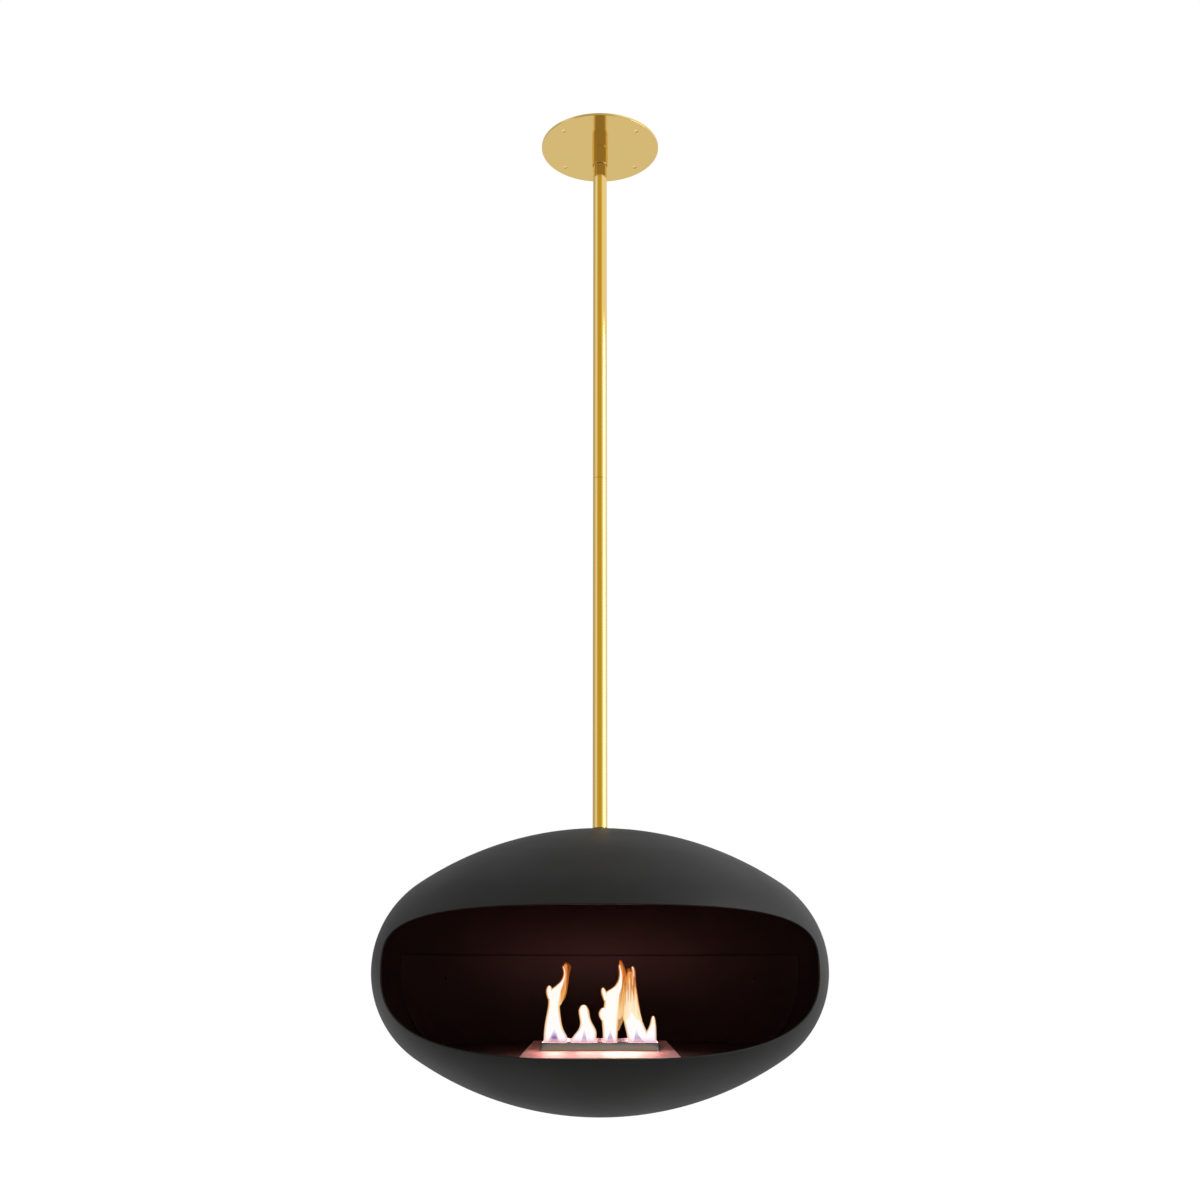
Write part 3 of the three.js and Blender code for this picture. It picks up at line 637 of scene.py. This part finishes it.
# Each tongue is a list of (height, left, right) in millimetres, the height from the middle of the body.
# The core is the part that burns white. The veil is the yellow gas round it, and the fringe the orange edge.
# All of it stays inside the burner's rim, 111 to each side, so that it doesn't stand in the sheet.
FLAME_Y = -30
FLAME_POINTS = 24
FLAME_FLATNESS = 0.4  # depth of a tongue as a share of its width
FLAME_LEAST_DEPTH = 2.5
FLAME_COLOUR_HEIGHT = 165  # over which the colour goes from root to tip
VEIL_WIDER = 0.8
FRINGE_WIDER = 1.7
FLAME_STREAK = 4.5  # width of the streaks in the gas
ROOT_DEPTH = 14  # roots and streaks are this deep all the way, so that they come out in front of the core
FLAME_CORES = {
    "left": [
        (-146, -108, -68), (-136, -108.8, -65), (-128, -108.6, -64), (-116, -108, -73), (-100, -106, -77),
        (-85, -103, -79), (-69, -100, -81), (-58, -100, -78), (-48, -101, -76), (-40, -99, -75),
        (-33, -89, -72), (-25, -79, -69.5), (-17, -73, -68), (-7, -70, -67), (1, -71.5, -68.5),
        (8, -74, -72)],
    "left_horn": [
        (-62, -99, -88), (-48, -104, -91), (-40, -105, -94), (-34, -103.5, -96), (-30, -101, -98.5)],
    "small": [
        (-146, -57, -10), (-136, -57, -9), (-126, -51, -8), (-118, -43, -8), (-111, -39, -11),
        (-103, -37, -16), (-95, -38, -20), (-85, -40, -22), (-77, -41, -23), (-71, -38, -26),
        (-67, -35, -29)],
    "middle": [
        (-146, 8, 31), (-136, 7, 32), (-121, 7, 33), (-105, 5.5, 34), (-92, 4.5, 35), (-80, 7, 36),
        (-69, 9, 37), (-59, 10, 38.5), (-48, 9, 40), (-41, 13, 42), (-35, 26, 43.5), (-27, 34, 45),
        (-15, 38.5, 45.5), (-5, 39, 44.5), (4, 37.5, 42), (11, 37, 39.5)],
    "middle_horn": [(-64, 10, 20), (-50, 5, 16), (-42, 3, 12), (-37, 3.5, 8.5), (-34, 5, 7)],
    "middle_curl": [(-100, 6, 16), (-92, 0.5, 15), (-85, -2, 13), (-78, 0, 13), (-72, 5, 13)],
    "right": [
        (-146, 59, 97), (-136, 56, 97), (-126, 54, 95), (-116, 52, 89), (-104, 49, 84), (-92, 46, 79),
        (-80, 45.5, 76), (-68, 46, 73), (-56, 48, 70), (-44, 51, 66), (-34, 54, 62)],
    "right_spike_1": [
        (-96, 46, 58), (-80, 46, 57), (-64, 46.5, 55), (-50, 47, 53.5), (-38, 48, 52.5), (-28, 49, 51.5)],
    "right_spike_2": [
        (-80, 58, 68), (-66, 57, 66), (-50, 56, 63), (-36, 56, 61), (-24, 56.5, 60), (-14, 57, 59)],
    "right_spike_3": [
        (-96, 68, 80), (-82, 67, 77.5), (-68, 67, 75), (-54, 67, 73), (-42, 67, 71), (-32, 67.5, 70)],
    "right_tip": [(-30, 62, 66), (-18, 63, 67.5), (-6, 64, 68.5), (2, 63, 67.5), (7, 62, 65)],
    "right_foot": [
        (-146, 84, 108), (-136, 84, 108.8), (-126, 86, 108.8), (-117, 93, 108.6), (-108, 98, 108.4),
        (-98, 100.5, 107.2), (-88, 102.5, 105.5)],
}
FLAME_VEILS = {
    "left_lobe": [
        (-70, -88, -77), (-58, -86, -73), (-48, -84, -69), (-38, -82, -67), (-28, -77, -66),
        (-15, -71.5, -64.5), (-4, -69.5, -63.5), (6, -71, -63), (12, -72, -64)],
    "middle_spire": [
        (-96, 28, 42), (-80, 32, 45), (-60, 36, 48), (-40, 39, 51), (-20, 41, 51.5), (-4, 40, 50),
        (6, 38, 47), (14, 38, 43), (19, 39, 41)],
    "right_sheet": [
        (-104, 47, 86), (-88, 43, 80), (-70, 43, 76), (-52, 45, 73), (-36, 47, 70.5), (-22, 50, 69),
        (-10, 52, 67), (-2, 55, 63)],
}
FLAME_FRINGES = {
    "left_curl": [
        (-62, -84, -72), (-50, -80, -66.5), (-38, -76, -64.5), (-24, -71, -62), (-10, -68, -61),
        (0, -68, -58), (6, -68, -56), (11, -68, -59), (15, -71, -65)],
    "middle_edge": [
        (-118, 30, 37), (-104, 31, 42), (-88, 34, 50), (-72, 36, 54), (-54, 38, 53), (-36, 40, 54),
        (-18, 42, 54), (0, 40, 51), (12, 37, 46), (20, 38, 42)],
    "right_strip_1": [(-70, 44, 56), (-52, 43.5, 54), (-34, 44.5, 52), (-20, 46, 51), (-10, 47.5, 50)],
    "right_strip_2": [
        (-66, 50, 62), (-48, 50, 61), (-30, 50.5, 60), (-14, 51.5, 60), (-2, 52.5, 61), (4, 54, 61)],
    "right_strip_3": [
        (-62, 58, 74), (-44, 58.5, 72.5), (-26, 59.5, 71), (-10, 60, 70.5), (0, 60.5, 70), (6, 61.5, 67)],
}
FLAME_STREAKS = {
    "right_streak_1": [(-70, 48.6, 50.2), (-52, 48.2, 51.2), (-36, 48.4, 51.4), (-22, 49.2, 50.8)],
    "right_streak_2": [(-64, 54.2, 55.6), (-50, 53.8, 56.4), (-36, 54, 56.4), (-24, 54.6, 55.8)],
    "right_streak_3": [(-66, 59.6, 61), (-48, 59.2, 61.8), (-32, 59.4, 62), (-14, 60, 61.4)],
    "right_streak_4": [(-62, 65.6, 67), (-44, 65, 67.8), (-28, 65, 68), (-10, 65.6, 67.2)],
    "middle_streak": [(-92, 37.6, 39), (-72, 38.4, 41.4), (-50, 40.4, 43.4), (-30, 43, 45.8), (-12, 45, 47)],
}
FLAME_ROOTS = {
    "left_root": [
        (-146, -107, -68), (-139, -105, -72), (-132, -102, -76), (-125, -98, -80), (-118, -94, -84),
        (-112, -91, -87)],
    "left_root_inner": [
        (-146, -101, -76), (-138, -99, -78), (-130, -96.5, -81), (-124, -94, -84), (-118, -91.5, -86.5),
        (-112, -90, -88)],
    "small_root": [
        (-146, -44, -18), (-139, -42, -20), (-132, -38, -23), (-126, -35, -26), (-119, -33, -28),
        (-112, -31.5, -29.5)],
    "middle_root": [(-146, 10, 30), (-138, 12, 28), (-130, 14.5, 25.5), (-123, 17, 23), (-114, 19.5, 21)],
    "right_root": [
        (-146, 61, 99), (-139, 62, 92), (-132, 64, 84), (-125, 66, 77), (-118, 68, 74), (-112, 70, 72)],
}


def tongue(name, outline, finish, wider, share, depth):
    """One tongue of flame from rings that grow upwards, flattened front to back.

    wider is added all round. share is how much of its own depth it has, and depth is added to that.
    """
    bm = bmesh.new()
    ring = bmesh.ops.create_circle(bm, cap_ends=True, segments=FLAME_POINTS, radius=1)["verts"]
    before = Matrix.Identity(4)
    for step, (height, left, right) in enumerate(outline):
        half = (right - left) / 2 + wider
        thick = (FLAME_FLATNESS * (right - left) / 2 + FLAME_LEAST_DEPTH) * share + depth
        place = Matrix.Translation(Vector(((left + right) / 2, FLAME_Y, MIDDLE + height)) * MM)
        after = place @ Matrix.Diagonal((half * MM, thick * MM, 1, 1))
        if step:
            edges = [edge for edge in bm.edges if edge.verts[0] in ring and edge.verts[1] in ring]
            grown = bmesh.ops.extrude_edge_only(bm, edges=edges)["geom"]
            ring = [part for part in grown if isinstance(part, bmesh.types.BMVert)]
        bmesh.ops.transform(bm, matrix=after @ before.inverted(), verts=ring)
        before = after
    edges = [edge for edge in bm.edges if edge.verts[0] in ring and edge.verts[1] in ring]
    bmesh.ops.edgeloop_fill(bm, edges=edges)
    settle(bm)
    made = piece("flame_" + name, bm, finish)
    smooth = made.modifiers.new("smooth", "SUBSURF")
    smooth.levels = smooth.render_levels = 2
    return made


def flame_material(name, stops, see_through=0.0, streaks=0.0):
    """Burning gas: a light with no surface. Its colour goes by height, from the deck to the tip.

    Fine upright noise moves that height by up to streaks, as a share of the whole.
    """
    made, tree = material(name)
    place = add(tree, "ShaderNodeTexCoord")
    parts = add(tree, "ShaderNodeSeparateXYZ", {0: place.outputs["Object"]})
    rise = add(tree, "ShaderNodeMapRange", {
        "Value": parts.outputs["Z"],
        "From Min": DECK_TOP * MM, "From Max": (DECK_TOP + FLAME_COLOUR_HEIGHT) * MM})
    waver = add(tree, "ShaderNodeMapRange", {
        "Value": grain(tree, FLAME_STREAK, (1, 1, 0.08)).outputs[0], **NOISE,
        "To Min": -streaks, "To Max": streaks})
    level = add(tree, "ShaderNodeMath", {0: rise.outputs[0], 1: waver.outputs[0]}, operation="ADD")
    colour = add(tree, "ShaderNodeValToRGB", {"Fac": level.outputs[0]}, stops=stops)
    seen = seen_by(tree, "Is Camera Ray")
    shown = add(tree, "ShaderNodeMix", {
        "Factor": seen, "A": srgb(FIRE_LIGHT_COLOUR), "B": colour.outputs["Color"]}, data_type="RGBA")
    strength = add(tree, "ShaderNodeMapRange", {"Value": seen, "To Min": FIRE_LIGHT, "To Max": 1.0})
    shader = add(tree, "ShaderNodeEmission", {
        "Color": shown.outputs["Result"], "Strength": strength.outputs[0]})
    if see_through:
        clear = add(tree, "ShaderNodeBsdfTransparent")
        shader = add(tree, "ShaderNodeMixShader", {0: see_through, 1: shader.outputs[0], 2: clear.outputs[0]})
    add(tree, "ShaderNodeOutputMaterial", {"Surface": shader.outputs[0]})
    return made


# ---- put together ----

gold = polished_gold()
paint = stove_paint()
black = hearth_paint()
steel = brushed_stainless("brushed_stainless_sheet", "#aebccb", "#bfccda", 0.09, 0.13)
satin = brushed_stainless("satin_stainless_sheet", "#e4e0e0", "#f0ecec", 0.48, 0.58)
zinc = machined_steel()
bronze = bearing_bronze()
fibre = ceramic_fibre()
shade_rubber = shade_gasket_rubber()

FINISHES = {
    "polished_gold": gold, "charcoal_paint": paint, "hearth_black": black, "brushed_stainless": steel,
    "machined_steel": zinc, "bearing_bronze": bronze, "ceramic_fibre": fibre,
}
for row in frame["record"]["subparts"]:
    node_mesh = frame["nodes"][row["node"]].data
    node_mesh.materials.clear()
    node_mesh.materials.append(FINISHES[row["material_slot"]])


def put(made, body, slot, *nodes):
    """Lets a piece ride its body, in place of the nodes that it stands for. slot is not used."""
    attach(made, body)
    if nodes:
        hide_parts(*nodes)


put(ceiling_plate(gold), "ceiling_mount", "polished_gold", "ceiling_plate")
put(tube("polished_collar", COLLAR_BORE, COLLAR_RADIUS, "ceiling_collar", gold, COLLAR_ROUNDING),
    "ceiling_mount", "polished_gold", "ceiling_collar")
for length in ("upper_pole", "lower_pole"):
    made = tube(length + "_tube", POLE_RADIUS - POLE_WALL, POLE_RADIUS, length, gold, POLE_END_ROUNDING)
    put(made, "hanging_fire", "polished_gold", length)
# the black ring at the pole's foot paints the shade where the pole enters the body
put(pole_shade_gasket(shade_rubber), "hanging_fire", "hearth_black")
put(pebble_shell(paint, black), "hanging_fire", "charcoal_paint", "upper_shell", "lower_shell")
put(hearth_sheet(satin), "hanging_fire", "brushed_stainless", "hearth_tray")
put(rear_shield(black), "hanging_fire", "hearth_black", "rear_heat_shield")
put(burner_frame(steel), "burner", "brushed_stainless", "burner_rim")

core = flame_material("burning_gas_white", [
    (0.035, "#d3a9b8"), (0.055, "#e6c0d0"), (0.075, "#f8e6f2"), (0.11, "#fffaff"),
    (0.16, "#fffdfa"), (0.75, "#fffcf2"), (1.0, "#ffe9bc")])
veil = flame_material("burning_gas_yellow", [
    (0.0, "#f6dce0"), (0.3, "#ffe9b0"), (0.6, "#ffcf80"), (0.8, "#f79a48"),
    (1.0, "#e0782c")], 0.4, 0.2)
fringe = flame_material("burning_gas_orange", [
    (0.0, "#e8b0a0"), (0.3, "#f0a850"), (0.6, "#e07c30"), (0.85, "#b85a24"),
    (1.0, "#8a3c18")], 0.62, 0.22)
streak = flame_material("burning_gas_brown", [
    (0.35, "#fbd49c"), (0.5, "#e8a258"), (0.65, "#c06c30"), (0.8, "#8c4620"),
    (1.0, "#4a2210")], 0.3, 0.08)
root = flame_material("burning_gas_violet", [
    (0.04, "#d9a3b2"), (0.08, "#d79db2"), (0.1, "#9a76a6"), (0.12, "#a78fc4"),
    (0.145, "#cdbbe4"), (0.175, "#efe4f8"), (0.205, "#fffaff")], 0.35)
deep_root = flame_material("burning_gas_deep_violet", [
    (0.08, "#dba2b6"), (0.097, "#4f3369"), (0.112, "#523a70"), (0.125, "#76609e"),
    (0.14, "#a491cc"), (0.16, "#d0bfe6"), (0.185, "#f0e4f9"), (0.205, "#fff8ff")], 0.12)
TONGUES = (  # name, outline, finish, wider, share of its own depth, depth added
    [(name, outline, core, 0, 1.0, 0) for name, outline in FLAME_CORES.items()]
    + [(name + "_veil", outline, veil, VEIL_WIDER, 0.9, 0) for name, outline in FLAME_CORES.items()]
    + [(name + "_fringe", outline, fringe, FRINGE_WIDER, 0.8, 0) for name, outline in FLAME_CORES.items()]
    + [(name, outline, veil, 0, 0.9, 0) for name, outline in FLAME_VEILS.items()]
    + [(name, outline, fringe, 0, 0.8, 0) for name, outline in FLAME_FRINGES.items()]
    + [(name, outline, streak, 0, 0, ROOT_DEPTH) for name, outline in FLAME_STREAKS.items()]
    + [(name, outline, deep_root if "inner" in name else root, 0, 0, ROOT_DEPTH)
       for name, outline in FLAME_ROOTS.items()])
for name, outline, finish, wider, share, depth in TONGUES:
    made = tongue(name, outline, finish, wider, share, depth)
    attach(made, "burner")
    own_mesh(made)

place_camera()
studio_world()
studio_floor()
for name, place, size, radiance in SOFTBOXES:
    softbox(name, place, size, radiance)

SCENE.view_settings.view_transform = "Standard"
